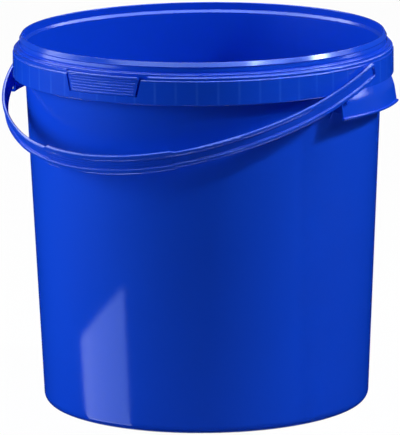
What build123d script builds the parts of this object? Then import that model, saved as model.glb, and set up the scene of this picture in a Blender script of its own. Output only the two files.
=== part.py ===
from build123d import *
import os
from math import asin, cos, degrees, radians, sin, sqrt, tan

# Storage bucket moulded in polypropylene, with a bail handle and a tear tab. Sizes in millimetres.
# +Z is up, the origin is the middle of the base, the handle's pivots lie along X,
# and the grip and the tear tab face -Y. Angles round the bucket are counted in degrees.

# Pail: tapered wall, floor and foot ring
overall_height = 381.7
rim_radius = 187.2
wall = 2.2
wall_draft = 2.525
floor = 2.4
foot_height = 2.6
foot_width = 10.0
foot_round = 0.8
corner_radius = 9.2

# Rim that slopes from its land down to a lip over a groove, and the lid's seat inside it
rim_thickness = 3.8
rim_height = 10.4
rim_set_out = 4.1
rim_land = 1.4
rim_edge_round = 0.3
rim_inner_round = 1.0
groove_drop = 5.3
groove_lip = 0.9
groove_fall = 3.2
groove_depth = 0.8
groove_round = 0.4
lid_seat_depth = 8.0
seat_slope_height = 2.6

# Stepped shoulder and the skirt that hangs from it, stiffened by upright webs
skirt_overhang = 6.8
skirt_thickness = 2.0
skirt_height = 31.6
shoulder_drop = 7.3
shoulder_thickness = 2.6
ridge_count = 3
ridge_round = 0.9
tread_fall = 0.6
skirt_outer_round = 1.2
skirt_edge_round = 0.2
web_count = 58
web_thickness = 1.2
web_lift = 3.5

# Grip hoods below the skirt, one round each pivot, alike after a half turn of the pail
hood_front_angle = 13.0
hood_back_angle = 22.0
hood_depth = 25.3
hood_top_rise = 3.6
hood_thickness = 2.0
hood_flare = 2.4
hood_bend = 30.0
lip_width = 1.9
lip_height = 2.4
lip_round = 0.8
hood_end_inset = 6.0
hood_web_lift = 5.7
hood_rib_reach = 4.0
hood_web_thickness = 1.6

# Pivots of the handle, on bosses in the skirt
pivot_rise = 16.5
stud_radius = 5.0
running_clearance = 0.06
boss_wall = 1.94
boss_proud = 1.6
boss_length = 6.6
side_play = 0.4
hub_height = 1.5
hub_wall = 1.8
head_overlap = 1.4
head_length = 2.6
head_chamfer = 0.9
head_room = 1.2
stud_slot = 2.0

# Bail handle: a channel strip bent into a bow, with a wider ridged grip
rest_droop = 19.3
grip_room = 35.0
bow_turn = 35.6
strip_width = 17.2
strip_depth = 3.8
channel_depth = 2.2
edge_rib = 4.6
strip_round = 1.6
channel_round = 0.5
strip_overhang = 9.0
end_corner = 6.0
grip_left_angle = 17.0
grip_right_angle = 30.5
grip_widening = 1.9
grip_thickening = 0.8
grip_ramp = 4.0
pad_width = 10.0
pad_depth = 1.6
pad_round = 1.0
pad_groove_count = 3
pad_groove_width = 0.9
pad_groove_depth = 0.4
stop_gap = 0.3
stop_length = 5.0
stop_height = 2.4
stop_reach = 4.5
hood_gap = 0.6
relief_gap = 0.4

# Tear tab in its window in the skirt
tab_angle = 1.4
tab_top_width = 84.4
tab_bottom_width = 74.4
tab_rise = 8.0
tab_height = 19.8
tab_thickness = 2.2
tab_corner = 2.5
tab_lip_reach = 2.4
tab_lip_height = 2.4
tab_lip_round = 0.9
tab_rib_count = 6
tab_rib_height = 0.5
tab_rib_round = 0.9
tab_rib_pitch = 2.8
tab_rib_start = 1.5
tab_rib_inset = 2.4
tab_back_room = 1.2
slit = 2.2
film_gap = 0.3
notch_right = 7.5
notch_slant = 4.0
notch_top_gap = 2.6

# Places that follow from the sizes above
shoulder_z = overall_height - rim_height
skirt_low = shoulder_z - skirt_height
skirt_top = shoulder_z - shoulder_drop
skirt_radius = rim_radius + skirt_overhang
skirt_inner = skirt_radius - skirt_thickness
skirt_middle = skirt_radius - skirt_thickness / 2
seat_radius = rim_radius - rim_thickness
floor_top = foot_height + floor
pivot_z = skirt_low + pivot_rise
boss_face = skirt_radius + boss_proud
boss_inner = boss_face - boss_length
strip_inner = boss_face + side_play + hub_height
half_span = strip_inner + strip_depth
bow_reach = skirt_radius + grip_room
hole_radius = stud_radius + running_clearance
head_radius = stud_radius + head_overlap
hood_low = skirt_low - hood_depth
hood_radius = strip_inner - hood_gap
lip_root = hood_radius + hood_flare
stop_run = hood_radius * sin(radians(hood_front_angle)) / cos(radians(rest_droop))
stop_drop = stop_run * sin(radians(rest_droop)) + strip_width / 2 * cos(radians(rest_droop))
rub_z = pivot_z - stop_drop
lip_z = hood_low + lip_height
tab_low = skirt_low + tab_rise
tab_top = tab_low + tab_height
tab_inner = skirt_radius - tab_thickness
window_radius = tab_inner - tab_back_room


def wall_outer(z):
    """Outer radius of the tapered wall at height z."""
    return rim_radius - rim_set_out - (shoulder_z - z) * tan(radians(wall_draft))


def wall_inner(z):
    """Inner radius of the tapered wall at height z."""
    return wall_outer(z) - wall / cos(radians(wall_draft))


def outline(corners):
    """Closed face from corners given as (x, y, rounding)."""
    points = [(x, y) for x, y, _ in corners]
    rounding = [r for _, _, r in corners]
    return make_face(FilletPolyline(*points, radius=rounding, close=True))


def upright_plate(corners, thickness, angle):
    """Radial plate from its (radius, height) corners, turned to an angle counted from +X."""
    face = make_face(Polyline(*corners, close=True))
    return Rot(0, 0, angle) * extrude(Plane.XZ * face, thickness / 2, both=True)


def shoulder_steps():
    """Corners of the stepped shoulder, whose crests lie on a quarter ellipse from skirt to rim."""
    corners = []
    for step in range(ridge_count):
        turn = radians(90 * step / ridge_count)
        next_turn = radians(90 * (step + 1) / ridge_count)
        level = skirt_top + shoulder_drop * sin(turn)
        corners.append((rim_radius + skirt_overhang * cos(turn), level, ridge_round))
        corners.append((rim_radius + skirt_overhang * cos(next_turn), level + tread_fall, ridge_round / 2))
    return corners


def pail_shell():
    """Wall, floor, foot ring, rim, shoulder and skirt as one turned shell."""
    foot_inner = wall_outer(0) - corner_radius - foot_width
    seat_z = overall_height - lid_seat_depth
    ledge_z = seat_z - seat_slope_height
    under_z = shoulder_z - shoulder_thickness
    under_radius = rim_radius - shoulder_thickness / 2
    under_low = under_z - shoulder_drop
    half_turn = radians(45)
    under_middle = under_radius + (skirt_inner - under_radius) * cos(half_turn)
    groove_z = overall_height - groove_drop
    corners = [
        (0, foot_height, 0),
        (foot_inner, foot_height, foot_round),
        (foot_inner + foot_height, 0, foot_round),
        (wall_outer(0), 0, corner_radius),
        (wall_outer(under_z), under_z, 0),
        (under_radius, under_z, shoulder_thickness),
        (under_middle, under_low + shoulder_drop * sin(half_turn), shoulder_thickness),
        (skirt_inner, under_low, shoulder_thickness),
        (skirt_inner, skirt_low, skirt_edge_round),
        (skirt_radius, skirt_low, skirt_outer_round),
        *shoulder_steps(),
        (rim_radius, groove_z - groove_fall, groove_round),
        (rim_radius - groove_depth, groove_z, groove_round),
        (rim_radius, groove_z + groove_lip, groove_round),
        (seat_radius + rim_land, overall_height, rim_edge_round),
        (seat_radius, overall_height, rim_inner_round),
        (seat_radius, seat_z, ridge_round),
        (wall_inner(ledge_z), ledge_z, ridge_round),
        (wall_inner(floor_top), floor_top, corner_radius - wall),
        (0, floor_top, 0),
    ]
    return Rot(0, 0, 90) * revolve(Plane.XZ * outline(corners), Axis.Z)


def skirt_webs():
    """Upright webs between the wall and the skirt, evenly spaced from the front."""
    low = skirt_low + web_lift
    top = shoulder_z - shoulder_thickness / 2
    under_drop = shoulder_drop + shoulder_thickness / 2
    corners = [
        (wall_outer(low) - wall / 2, low),
        (skirt_middle, low),
        (skirt_middle, shoulder_z - under_drop),
        (rim_radius - shoulder_thickness / 2, top),
        (wall_outer(top) - wall / 2, top),
    ]
    pitch = 360 / web_count
    return [upright_plate(corners, web_thickness, k * pitch - 90) for k in range(web_count)]


def hood_shell():
    """Curved hood of the +X side, hollow and open below and at its ends."""
    lip_radius = lip_root + lip_width
    corners = [
        (skirt_middle, skirt_low + hood_top_rise, 0),
        (hood_radius, rub_z, hood_bend),
        (lip_root, lip_z, lip_round / 2),
        (lip_radius, lip_z, lip_round),
        (lip_radius, hood_low, lip_round),
        (lip_root - hood_thickness, hood_low, lip_round / 2),
        (hood_radius - hood_thickness, rub_z, hood_bend),
        (skirt_middle, skirt_low + skirt_edge_round, 0),
    ]
    sector = revolve(Plane.XZ * outline(corners), Axis.Z, hood_front_angle + hood_back_angle)
    return Rot(0, 0, -hood_front_angle) * sector


def hood_ends():
    """End webs inside the hood, set back from its ends, and short ribs on the wall at the ends."""
    low = hood_low + hood_web_lift
    high = skirt_low + web_lift + web_thickness
    flare = hood_flare * (rub_z - low) / (rub_z - lip_z)
    web = [
        (wall_outer(low) - wall / 2, low),
        (hood_radius + flare - hood_thickness / 2, low),
        (hood_radius - hood_thickness / 2, rub_z),
        (skirt_middle, skirt_low + skirt_edge_round),
        (skirt_middle, high),
        (wall_outer(high) - wall / 2, high),
    ]
    rib = [
        (wall_outer(hood_low) - wall / 2, hood_low),
        (wall_outer(hood_low) + wall / 2, hood_low),
        (wall_outer(low) + hood_rib_reach, low),
        (wall_outer(high) + hood_rib_reach, high),
        (wall_outer(high) - wall / 2, high),
    ]
    inset = hood_end_inset / radians(hood_radius)
    angles = (inset - hood_front_angle, hood_back_angle - inset)
    webs = [upright_plate(web, hood_web_thickness, angle) for angle in angles]
    ends = (-hood_front_angle, hood_back_angle)
    ribs = [upright_plate(rib, hood_web_thickness, angle) for angle in ends]
    return webs + ribs


def along_x(radius, near, far):
    """Cylinder on the line of the pivots, between two places along X."""
    return Pos((near + far) / 2, 0, 0) * Rot(0, 90, 0) * Cylinder(radius, far - near)


def drooped(shape):
    """Carry a shape from the bow's own plane to the place where the lowered handle rests."""
    return Pos(0, 0, pivot_z) * Rot(rest_droop, 0, 0) * shape


def handle_stop():
    """Nib on the hood, just under the lowered strip."""
    root_radius = hood_radius - hood_thickness / 2
    start = sqrt(root_radius**2 - (stop_run * cos(radians(rest_droop)))**2)
    length = hood_thickness / 2 + stop_reach
    corner = (Align.MIN, Align.MIN, Align.MAX)
    block = Box(length, stop_length, stop_height, align=corner)
    return drooped(Pos(start, -stop_run, -strip_width / 2 - stop_gap) * block)


def both_sides(shapes):
    """The shapes and their mirror images on the -X side."""
    return shapes + [mirror(shape, Plane.YZ) for shape in shapes]


def turned_prism(corners, half_width):
    """Prism of an outline, turned to a side that stands half_width from the tab's middle."""
    turn = tab_angle + degrees(asin(half_width / skirt_radius))
    return Rot(0, 0, turn) * extrude(Plane.XZ * outline(corners), skirt_radius + skirt_overhang)


def tab_sector(low_half, top_half, low, high, corner):
    """Sector of the tab's shape, whose leaning side faces run in towards the axis."""
    middle = (low_half + top_half) / 2
    lean = (top_half - low_half) / 2
    far = 4 * middle
    right = [(-far, low, 0), (-lean, low, 0), (lean, high, corner), (-far, high, 0)]
    left = [(-x, z, rounding) for x, z, rounding in reversed(right)]
    return turned_prism(right, middle) & turned_prism(left, -middle)


def tab_cut():
    """Window that the tab stands in, with a wider notch in the shoulder at its right."""
    low = tab_low - film_gap
    top = tab_top + notch_top_gap
    slope = (tab_top_width - tab_bottom_width) / 2 / tab_height
    low_half = tab_bottom_width / 2 + slit
    window = tab_sector(low_half, low_half + slope * (top - low), low, top, 0)
    notch_low = tab_top - tab_lip_height
    notch_corners = [
        (-tab_top_width / 2, notch_low, 0),
        (-notch_slant / 2, notch_low, 0),
        (notch_slant / 2, top, 0),
        (-tab_top_width / 2, top, 0),
    ]
    notch = turned_prism(notch_corners, tab_top_width / 2 + notch_right)
    core = Cylinder(window_radius, overall_height, align=(Align.CENTER, Align.CENTER, Align.MIN))
    return window + notch - core


def strip_relief():
    """Room for the lowered strip where it passes close over the long front of the -X hood."""
    _, _, side_center, side_radius = bow_arcs()
    low = -strip_width / 2 - stop_gap / 2
    deep = strip_depth + relief_gap
    corners = [(-stop_reach, low, 0), (deep, low, 0), (deep, strip_width, 0), (-stop_reach, strip_width, 0)]
    run = arc_run(outline(corners), side_center, side_radius, bow_turn, 90 - bow_turn)
    return mirror(drooped(run), Plane.YZ)


def pail_body():
    """The pail moulding with its webs, hoods, pivot bosses, stops, holes and tab window."""
    hood = [hood_shell(), *hood_ends()]
    hoods = hood + [Rot(0, 0, 180) * shape for shape in hood]
    boss = Pos(0, 0, pivot_z) * along_x(stud_radius + boss_wall, boss_inner, boss_face)
    hole = Pos(0, 0, pivot_z) * along_x(hole_radius, boss_inner - wall, boss_face + wall)
    room_inner = boss_inner - side_play - head_length - head_room
    room = Pos(0, 0, pivot_z) * along_x(head_radius + head_room, room_inner, boss_inner)
    body = pail_shell() + skirt_webs() + hoods + both_sides([handle_stop()])
    body = body - both_sides([room]) + both_sides([boss])
    return body - both_sides([hole]) - strip_relief() - tab_cut()


def bow_arcs():
    """Centre and radius of the grip's arc, and of the +X side arc, which runs square into the pivot."""
    s = sin(radians(bow_turn))
    c = cos(radians(bow_turn))
    scale = s * c - (1 - s) * (1 - c)
    grip_radius = (half_span * c - bow_reach * (1 - s)) / scale
    side_radius = (bow_reach * s - half_span * (1 - c)) / scale
    grip_y = grip_radius - bow_reach
    offset = grip_radius - side_radius
    side_center = (offset * s, grip_y - offset * c)
    return (0, grip_y), grip_radius, side_center, side_radius


def channel_section(width, depth, channel_width, mouth_depth, mouth_round):
    """Channel section as (depth from the outer face, height across the strip)."""
    half = width / 2
    mouth = channel_width / 2
    corners = [
        (0, half, strip_round),
        (depth, half, strip_round),
        (depth, -half, strip_round),
        (0, -half, strip_round),
        (0, -mouth, mouth_round),
        (mouth_depth, -mouth, channel_round),
        (mouth_depth, mouth, channel_round),
        (0, mouth, mouth_round),
    ]
    return outline(corners)


def strip_section():
    """Section of the strip, a channel between two edge ribs."""
    return channel_section(strip_width, strip_depth, strip_width - 2 * edge_rib, channel_depth, strip_round)


def grip_section():
    """Wider and thicker section of the grip, whose channel is a shallow pad."""
    width = strip_width + 2 * grip_widening
    depth = strip_depth + grip_thickening
    return channel_section(width, depth, pad_width, pad_depth, pad_round)


def grooved_section():
    """The grip's section with lengthwise grooves in its pad."""
    face = grip_section()
    pitch = pad_width / (pad_groove_count + 1)
    for k in range(pad_groove_count):
        level = (k + 1) * pitch - pad_width / 2
        face -= Pos(pad_depth, level) * Rectangle(2 * pad_groove_depth, pad_groove_width)
    return face


def placed_section(section, center, radius, angle):
    """A section standing on an arc of the bow, at an angle counted from -Y."""
    axis = Axis((center[0], center[1], 0), (0, 0, 1))
    face = Pos(center[0], center[1] - radius, 0) * (Plane.YZ * section)
    return face.rotate(axis, angle), axis


def arc_run(section, center, radius, start, sweep):
    """Turn a section along an arc of the bow, from the start angle."""
    face, axis = placed_section(section, center, radius, start)
    return revolve(face, axis, sweep)


def ramp_run(center, radius, strip_angle, grip_angle):
    """Ramp from the strip's section to the grip's."""
    small, _ = placed_section(strip_section(), center, radius, strip_angle)
    large, _ = placed_section(grip_section(), center, radius, grip_angle)
    return loft([small, large], ruled=True)


def strip_end():
    """Flat end of the strip past the +X pivot, with round corners and the channel's closed end."""
    half = strip_width / 2
    rib = half - edge_rib
    plate = outline([
        (0, -half, 0),
        (strip_overhang, -half, end_corner),
        (strip_overhang, half, end_corner),
        (0, half, 0),
    ])
    channel = outline([
        (0, -rib, 0),
        (strip_overhang - edge_rib, -rib, end_corner - edge_rib),
        (strip_overhang - edge_rib, rib, end_corner - edge_rib),
        (0, rib, 0),
    ])
    end = extrude(Plane.YZ * plate, strip_depth)
    rims = end.edges().filter_by(Axis.X, reverse=True)
    rims = rims.filter_by_position(Axis.Y, 0, strip_overhang, inclusive=(False, True))
    end = fillet(rims, strip_round)
    floor_x = strip_depth - channel_depth
    end -= Pos(floor_x, 0, 0) * extrude(Plane.YZ * channel, channel_depth)
    face_edges = end.edges().filter_by_position(Axis.X, strip_depth, strip_depth)
    flank = rib + strip_round / 2
    inner_edges = face_edges.filter_by_position(Axis.Z, -flank, flank)
    mouth = inner_edges.filter_by_position(Axis.Y, 0, strip_overhang - edge_rib, inclusive=(False, True))
    end = fillet(mouth, strip_round)
    return Pos(strip_inner, 0, 0) * end


def pivot_stud():
    """Hub, stud and split snap head of the +X end, on the line of the pivots."""
    head_outer = boss_inner - side_play
    head_inner = head_outer - head_length
    hub = along_x(stud_radius + hub_wall, strip_inner - hub_height, strip_inner)
    stud = along_x(stud_radius, head_outer, strip_inner)
    head = along_x(head_radius, head_inner, head_outer)
    inner_rim = head.edges().filter_by(GeomType.CIRCLE).sort_by(Axis.X)[0]
    head = chamfer(inner_rim, head_chamfer)
    slot_length = boss_face - head_inner - boss_proud
    slot = Pos(head_inner, 0, 0) * Box(2 * slot_length, stud_slot, 2 * (head_radius + head_room))
    return hub + (stud + head - slot)


def bail_handle():
    """Bow of channel strip with its grip, ends and studs, lowered to its rest."""
    grip_center, grip_radius, side_center, side_radius = bow_arcs()
    strip = strip_section()
    side = arc_run(strip, side_center, side_radius, bow_turn, 90 - bow_turn)
    ramp_turn = degrees(grip_ramp / grip_radius)
    ramp_left = grip_left_angle + ramp_turn
    ramp_right = grip_right_angle + ramp_turn
    grip_sweep = grip_left_angle + grip_right_angle
    runs = [
        arc_run(grooved_section(), grip_center, grip_radius, -grip_left_angle, grip_sweep),
        ramp_run(grip_center, grip_radius, -ramp_left, -grip_left_angle),
        ramp_run(grip_center, grip_radius, ramp_right, grip_right_angle),
        arc_run(strip, grip_center, grip_radius, -bow_turn, bow_turn - ramp_left),
        arc_run(strip, grip_center, grip_radius, ramp_right, bow_turn - ramp_right),
    ]
    bow = runs[0] + runs[1:] + both_sides([side, strip_end(), pivot_stud()])
    return drooped(bow)


def tab_ribs():
    """Round ribs across the tab's face, each ending just short of the tab's sides."""
    rib_middle = skirt_radius + tab_rib_height - tab_rib_round
    slope = (tab_top_width - tab_bottom_width) / 2 / tab_height
    ribs = []
    for k in range(tab_rib_count):
        rise = tab_rib_start + k * tab_rib_pitch
        half_width = tab_bottom_width / 2 + slope * rise - tab_rib_inset
        half_angle = degrees(asin(half_width / skirt_radius))
        bead = Pos(rib_middle, tab_low + rise) * Circle(tab_rib_round)
        run = revolve(Plane.XZ * bead, Axis.Z, 2 * half_angle)
        ribs.append(Rot(0, 0, tab_angle - 90 - half_angle) * run)
    return ribs


def tear_tab():
    """Panel cut from the skirt's round, with a lip along its top and grip ribs across its face."""
    lip_low = tab_top - tab_lip_height
    panel = outline([
        (tab_inner, tab_low, 0),
        (skirt_radius, tab_low, 0),
        (skirt_radius, lip_low, tab_lip_round / 2),
        (skirt_radius + tab_lip_reach, lip_low, tab_lip_round),
        (skirt_radius + tab_lip_reach, tab_top, tab_lip_round),
        (tab_inner, tab_top, tab_lip_round),
    ])
    ring = revolve(Plane.XZ * panel, Axis.Z)
    tab = ring & tab_sector(tab_bottom_width / 2, tab_top_width / 2, tab_low, tab_top, tab_corner)
    return tab + tab_ribs()


os.makedirs("parts", exist_ok=True)
export_step(pail_body(), "parts/pail_body.step")
export_step(bail_handle(), "parts/bail_handle.step")
export_step(tear_tab(), "parts/tear_tab.step")
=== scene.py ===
from math import cos, pi, radians, sin

import bpy
from mathutils import Matrix, Vector

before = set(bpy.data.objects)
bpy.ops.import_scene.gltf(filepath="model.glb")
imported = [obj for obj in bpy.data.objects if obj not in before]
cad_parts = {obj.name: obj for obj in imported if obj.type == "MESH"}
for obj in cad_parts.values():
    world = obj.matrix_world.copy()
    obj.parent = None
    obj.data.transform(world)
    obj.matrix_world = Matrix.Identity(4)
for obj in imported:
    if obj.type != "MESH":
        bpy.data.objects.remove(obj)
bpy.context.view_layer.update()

# Camera: a long lens a little above the rim, turned round from the tear tab
camera_turn = radians(33.0)
camera_tilt = radians(11.68)
camera_roll = radians(-0.583)
camera_distance = 5.2934
camera_aim = Vector((-0.0049, 0.0, 0.18815))
camera_lens = 427.25
camera_far = 100.0

# Plastic: two close blues that flow into each other, a bluish gloss with faint scuffs, and slight orange peel
plastic_hex = "0B43D2"
plastic_light_hex = "0D48DA"
flow_scale = 9.0
flow_detail = 3.0
flow_roughness = 0.5
gloss_hex = "B4D4FF"
gloss_level = 0.4
gloss_index = 1.49
scuff_scale = 160.0
scuff_detail = 4.0
scuff_roughness = 0.6
scuff_low = 0.3
scuff_high = 0.75
rough_least = 0.16
rough_most = 0.24
peel_scale = 55.0
peel_detail = 2.0
peel_strength = 0.12
peel_height = 0.0003

# Painted highlight: pale lines on the skirt, one in front of each web, standing in for light caught by the sink
# marks there
web_count = 58
web_sheen_reach = 0.10
web_sheen_share = 0.4
web_sheen_hex = "3C78F0"
web_patch_scale = 40.0
web_patch_detail = 2.0
half_pitch = 0.5
skirt_face = 0.1935
skirt_edge = 0.341

# Floor and room: the floor is white to the camera, and the room is dim with a paler ceiling
floor_size = 16.0
floor_hex = "B4B6BA"
floor_glow = 0.95
floor_white = 1.03
room_hex = "C4DCFF"
room_strength = 0.04
room_white = 0.6
wall_white = 0.10
wall_top = radians(20)
ceiling_edge = radians(50)

# Cards that only reflections see, with their turns in degrees to the camera's right.
# Black cloth: a wide ring, a round piece at the foot, a low collar, and two flags beside the white card
white = (1, 1, 1, 1)
ring_steps = 36
cloth_hex = "060608"
cloth_inner = 0.37
cloth_outer = 7.90
cloth_rise = 0.002
foot_inner = 0.15
collar_radius = 0.245
collar_height = 0.13
flag_turns = (-20, -66)
flag_foot = 0.168
flag_top = 0.178
flag_outer = 0.330
flag_height = 0.20

# Glowing white card, no lamp and seen only in reflections, that stands round the left front with a sloping top,
# and its part that lies on the floor; it paints the pale reflected patch low on the left
card_radius = 0.235
card_right = -36.6
card_left = -63.8
card_right_height = 0.128
card_left_height = 0.064
card_steps = 12
card_glow = 3.8
patch_radius = 0.168
patch_right = -27.3
patch_left = -46.5
patch_rise = 0.003

# Glowing cards, no lamps, that paint highlight lines in reflections: a ring on the table for the handle's
# edges, a ceiling panel for the rim, a side board for the right hood
ring_inner = 0.26
ring_outer = 0.37
ring_rise = 0.004
ring_glow = 14.0
ceiling_height = 2.0
ceiling_half = 1.9
ceiling_glow = 9.0
side_radius = 1.5
side_left = 93
side_right = 107
side_low = 0.55
side_high = 0.75
side_glow = 9.0

# Lamps: most of them are aimed at the middle of the wall and shine all ways
wall_middle = (0, 0, 0.2)
right_front = (0.143, -0.101, 0.2)
all_ways = 180


def linear(code):
    """An sRGB hex code as linear red, green, blue and alpha."""
    parts = [int(code[k:k + 2], 16) / 255 for k in (0, 2, 4)]
    low = [p / 12.92 for p in parts]
    high = [((p + 0.055) / 1.055) ** 2.4 for p in parts]
    return [h if p > 0.04045 else l for p, l, h in zip(parts, low, high)] + [1.0]


def add_node(tree, kind, settings=None, **inputs):
    """Add one node, set its properties, and fill or link its input sockets by name or number."""
    node = tree.nodes.new(kind)
    for name, value in (settings or {}).items():
        setattr(node, name, value)
    for name, value in inputs.items():
        key = int(name[1:]) if name[0] == "_" else name.replace("_", " ")
        socket = node.inputs[key]
        if isinstance(value, bpy.types.NodeSocket):
            tree.links.new(value, socket)
        else:
            socket.default_value = value
    return node


def new_material(name):
    """An empty node material, its tree and its output node."""
    material = bpy.data.materials.new(name)
    material.use_nodes = True
    tree = material.node_tree
    tree.nodes.clear()
    output = add_node(tree, "ShaderNodeOutputMaterial")
    return material, tree, output


def add_math(tree, operation, first, second=0.0, third=0.0):
    """Result of one maths node."""
    node = add_node(tree, "ShaderNodeMath", {"operation": operation}, _0=first, _1=second, _2=third)
    return node.outputs[0]


def painted_web_sheen(tree, place):
    """Share of the painted highlight lines on the skirt where its webs stand behind it, in place of light on
    their sink marks.
    """
    split = add_node(tree, "ShaderNodeSeparateXYZ", Vector=place)
    across, along, rise = split.outputs
    turn = add_math(tree, "ARCTAN2", along, across)
    webs = add_math(tree, "MULTIPLY_ADD", turn, web_count / (2 * pi), web_count / 4)
    away = add_math(tree, "PINGPONG", webs, half_pitch)
    line = add_node(
        tree, "ShaderNodeMapRange", {"interpolation_type": "SMOOTHSTEP"},
        _0=away, _1=0.0, _2=web_sheen_reach, _3=web_sheen_share, _4=0.0,
    )
    flat = add_node(tree, "ShaderNodeCombineXYZ", X=across, Y=along)
    reach = add_node(tree, "ShaderNodeVectorMath", {"operation": "LENGTH"}, _0=flat.outputs[0])
    on_skirt = add_math(tree, "GREATER_THAN", reach.outputs["Value"], skirt_face)
    above_edge = add_math(tree, "GREATER_THAN", rise, skirt_edge)
    patchy = add_node(
        tree, "ShaderNodeTexNoise", Vector=place, Scale=web_patch_scale, Detail=web_patch_detail,
    )
    shown = add_math(tree, "MULTIPLY", on_skirt, above_edge)
    shown = add_math(tree, "MULTIPLY", shown, patchy.outputs["Fac"])
    return add_math(tree, "MULTIPLY", shown, line.outputs[0])


def moulded_polypropylene(name, with_web_sheen):
    """Glossy injection-moulded polypropylene: blue all through, with soft, slightly blurred reflections."""
    material, tree, output = new_material(name)
    place = add_node(tree, "ShaderNodeTexCoord").outputs["Object"]
    flow = add_node(
        tree, "ShaderNodeTexNoise",
        Vector=place, Scale=flow_scale, Detail=flow_detail, Roughness=flow_roughness,
    )
    colour = add_node(
        tree, "ShaderNodeMix", {"data_type": "RGBA"},
        _0=flow.outputs["Fac"], _6=linear(plastic_hex), _7=linear(plastic_light_hex),
    )
    # Painted highlight lines over the webs' sink marks, mixed into the base colour
    if with_web_sheen:
        colour = add_node(
            tree, "ShaderNodeMix", {"data_type": "RGBA"},
            _0=painted_web_sheen(tree, place), _6=colour.outputs[2], _7=linear(web_sheen_hex),
        )
    scuff = add_node(
        tree, "ShaderNodeTexNoise",
        Vector=place, Scale=scuff_scale, Detail=scuff_detail, Roughness=scuff_roughness,
    )
    rough = add_node(
        tree, "ShaderNodeMapRange",
        _0=scuff.outputs["Fac"], _1=scuff_low, _2=scuff_high, _3=rough_least, _4=rough_most,
    )
    peel = add_node(tree, "ShaderNodeTexNoise", Vector=place, Scale=peel_scale, Detail=peel_detail)
    bump = add_node(
        tree, "ShaderNodeBump",
        Height=peel.outputs["Fac"], Strength=peel_strength, Distance=peel_height,
    )
    shader = add_node(
        tree, "ShaderNodeBsdfPrincipled",
        Base_Color=colour.outputs[2], Roughness=rough.outputs[0], Normal=bump.outputs[0],
        IOR=gloss_index, Specular_Tint=linear(gloss_hex), Specular_IOR_Level=gloss_level,
    )
    tree.links.new(shader.outputs[0], output.inputs["Surface"])
    return material


def finish_node(node, material):
    """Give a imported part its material."""
    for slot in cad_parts[node].material_slots:
        slot.material = material


def seen_directly(tree):
    """One for rays of the camera, of gloss and of glass, and zero for the rest."""
    path = add_node(tree, "ShaderNodeLightPath").outputs
    seen = add_math(tree, "MAXIMUM", path["Is Camera Ray"], path["Is Glossy Ray"])
    return add_math(tree, "MAXIMUM", seen, path["Is Transmission Ray"])


def add_floor():
    """Pale floor that stays white to the camera and in reflections, and keeps the shadow."""
    bpy.ops.object.select_all(action="DESELECT")
    bpy.ops.mesh.primitive_plane_add(size=floor_size, location=(0, 0, 0))
    floor = bpy.context.object
    floor.name = "floor"
    material, tree, output = new_material("pale_matt_floor")
    share = add_math(tree, "MULTIPLY", seen_directly(tree), floor_glow)
    matt = add_node(tree, "ShaderNodeBsdfDiffuse", Color=linear(floor_hex))
    shine = add_node(tree, "ShaderNodeEmission", Color=white, Strength=floor_white)
    mixed = add_node(
        tree, "ShaderNodeMixShader", _0=share, _1=matt.outputs[0], _2=shine.outputs[0],
    )
    tree.links.new(mixed.outputs[0], output.inputs["Surface"])
    floor.data.materials.append(material)


def add_room():
    """Dim light from all round; the camera and reflections see grey walls that turn to a pale ceiling."""
    world = bpy.data.worlds.new("studio_room")
    bpy.context.scene.world = world
    world.use_nodes = True
    tree = world.node_tree
    place = add_node(tree, "ShaderNodeTexCoord").outputs["Generated"]
    rise = add_node(tree, "ShaderNodeSeparateXYZ", Vector=place).outputs["Z"]
    pale = add_node(
        tree, "ShaderNodeMapRange", {"interpolation_type": "SMOOTHSTEP"},
        _0=rise, _1=sin(wall_top), _2=sin(ceiling_edge), _3=wall_white, _4=room_white,
    )
    strength = add_node(
        tree, "ShaderNodeMapRange", _0=seen_directly(tree), _3=room_strength, _4=pale.outputs[0],
    )
    background = tree.nodes["Background"]
    background.inputs["Color"].default_value = linear(room_hex)
    tree.links.new(strength.outputs[0], background.inputs["Strength"])


def add_card(name, material, corners, faces):
    """Mesh card in the camera's turned frame, seen in reflections alone."""
    mesh = bpy.data.meshes.new(name)
    mesh.from_pydata(corners, [], faces)
    mesh.transform(Matrix.Rotation(camera_turn, 4, "Z"))
    mesh.materials.append(material)
    card = bpy.data.objects.new(name, mesh)
    bpy.context.collection.objects.link(card)
    card.visible_camera = False
    card.visible_diffuse = False
    card.visible_shadow = False
    card.visible_transmission = False


def add_strip(name, material, pairs):
    """Card whose corners are listed in pairs from one end to the other."""
    corners = [corner for pair in pairs for corner in pair]
    faces = [(2 * k, 2 * k + 1, 2 * k + 3, 2 * k + 2) for k in range(len(pairs) - 1)]
    add_card(name, material, corners, faces)


def around(radius, degrees, height):
    """Point at a radius and a turn to the camera's right."""
    return (radius * sin(radians(degrees)), -radius * cos(radians(degrees)), height)


def add_ring(name, material, inner, inner_height, outer, outer_height):
    """Card all the way round the pail, between two circles."""
    turns = [360 * k / ring_steps for k in range(ring_steps + 1)]
    pairs = [(around(inner, turn, inner_height), around(outer, turn, outer_height)) for turn in turns]
    add_strip(name, material, pairs)


def between(start, end, share):
    """Value at a share of the way from start to end."""
    return start + (end - start) * share


def glowing_card(name, strength):
    """White material that shines by itself, but is no lamp."""
    material, tree, output = new_material(name)
    material.cycles.emission_sampling = "NONE"
    glow = add_node(tree, "ShaderNodeEmission", Color=white, Strength=strength)
    tree.links.new(glow.outputs[0], output.inputs["Surface"])
    return material


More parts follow.
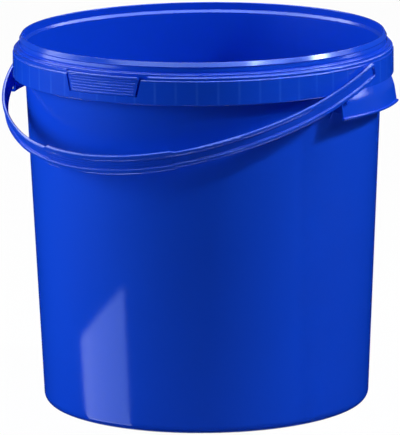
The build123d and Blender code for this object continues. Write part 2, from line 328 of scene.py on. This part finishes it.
def add_black_cloth():
    """Black cloth keeps the white floor, and glancing views of the white card, out of the glossy wall."""
    cloth, tree, output = new_material("black_cloth")
    matt = add_node(tree, "ShaderNodeBsdfDiffuse", Color=linear(cloth_hex))
    tree.links.new(matt.outputs[0], output.inputs["Surface"])
    add_ring("cloth_ring", cloth, cloth_inner, cloth_rise, cloth_outer, cloth_rise)
    add_ring("cloth_foot", cloth, foot_inner, cloth_rise, collar_radius, cloth_rise)
    add_ring("cloth_collar", cloth, collar_radius, cloth_rise, collar_radius, collar_height)
    flags = []
    for turn in flag_turns:
        flags += [around(flag_foot, turn, cloth_rise), around(flag_top, turn, flag_height)]
        flags += [around(flag_outer, turn, flag_height), around(flag_outer, turn, cloth_rise)]
    add_card("cloth_flags", cloth, flags, [(0, 1, 2, 3), (4, 5, 6, 7)])


def add_white_card():
    """Glowing white card close to the wall, no lamp, whose painted reflection shows in it as the pale patch low
    on the left.
    """
    glowing_paper = glowing_card("glowing_white_card", card_glow)
    upright = []
    lying = []
    for k in range(card_steps + 1):
        share = k / card_steps
        turn = between(card_right, card_left, share)
        top = between(card_right_height, card_left_height, share)
        foot_turn = between(patch_right, patch_left, share)
        upright.append((around(card_radius, turn, 0), around(card_radius, turn, top)))
        lying.append((around(patch_radius, foot_turn, patch_rise), around(card_radius, turn, patch_rise)))
    add_strip("card_upright", glowing_paper, upright)
    add_strip("card_lying", glowing_paper, lying)


def add_bright_cards():
    """Glowing ring, panel and board, seen only in reflections, whose painted reflections draw the lines on the
    strip, the rim and the right hood.
    """
    table = glowing_card("glowing_table_ring", ring_glow)
    add_ring("table_ring", table, ring_inner, ring_rise, ring_outer, ring_rise)
    panel = glowing_card("ceiling_panel", ceiling_glow)
    half = ceiling_half
    square = [(-half, -half), (half, -half), (half, half), (-half, half)]
    add_card("ceiling_panel", panel, [(x, y, ceiling_height) for x, y in square], [(0, 1, 2, 3)])
    board = glowing_card("side_board", side_glow)
    ends = [(around(side_radius, turn, side_low), around(side_radius, turn, side_high))
            for turn in (side_left, side_right)]
    add_strip("side_board", board, ends)


def add_lamp(name, turn, rise, distance, aim, width, height, power, spread):
    """Area lamp at a turn to the camera's right and a rise above the floor, aimed at a point."""
    heading = camera_turn + radians(turn)
    level = cos(radians(rise))
    out = Vector((sin(heading) * level, -cos(heading) * level, sin(radians(rise))))
    spot = Vector(aim) + out * distance
    bpy.ops.object.light_add(type="AREA", location=spot)
    lamp = bpy.context.object
    lamp.name = name
    lamp.rotation_euler = (-out).to_track_quat("-Z", "Y").to_euler()
    lamp.data.shape = "RECTANGLE"
    lamp.data.size = width
    lamp.data.size_y = height
    lamp.data.energy = power
    lamp.data.spread = radians(spread)


def add_lamps():
    """Soft light from the left and overhead, a small key and a strip from the right, a narrow fill in front."""
    add_lamp("left_softbox", turn=-84, rise=17, distance=1.5, aim=wall_middle,
             width=1.6, height=0.85, power=23.0, spread=all_ways)
    add_lamp("right_key", turn=82, rise=37, distance=1.7, aim=wall_middle,
             width=0.16, height=0.16, power=16.5, spread=all_ways)
    add_lamp("right_strip", turn=75, rise=34, distance=1.6, aim=wall_middle,
             width=1.7, height=0.22, power=5.0, spread=all_ways)
    add_lamp("front_fill", turn=40, rise=46, distance=1.6, aim=right_front,
             width=0.08, height=0.5, power=0.05, spread=8)
    add_lamp("over_soft", turn=-10, rise=80, distance=1.7, aim=wall_middle,
             width=1.4, height=1.0, power=5.0, spread=all_ways)


def add_camera():
    """Camera of the photograph."""
    back = Vector((0, -cos(camera_tilt), sin(camera_tilt)))
    place = back * camera_distance + camera_aim
    place.rotate(Matrix.Rotation(camera_turn, 3, "Z"))
    bpy.ops.object.camera_add(location=place, rotation=(pi / 2 - camera_tilt, 0, camera_turn))
    camera = bpy.context.object
    camera.rotation_euler.rotate_axis("Z", camera_roll)
    camera.data.lens = camera_lens
    camera.data.clip_end = camera_far
    bpy.context.scene.camera = camera


finish_node("pail_body", moulded_polypropylene("glossy_polypropylene_pail", with_web_sheen=True))
finish_node("tear_tab", moulded_polypropylene("glossy_polypropylene_tab", with_web_sheen=False))
finish_node("bail_handle", moulded_polypropylene("glossy_polypropylene_handle", with_web_sheen=False))
add_floor()
add_room()
add_black_cloth()
add_white_card()
add_bright_cards()
add_lamps()
add_camera()
bpy.context.scene.view_settings.view_transform = "Standard"
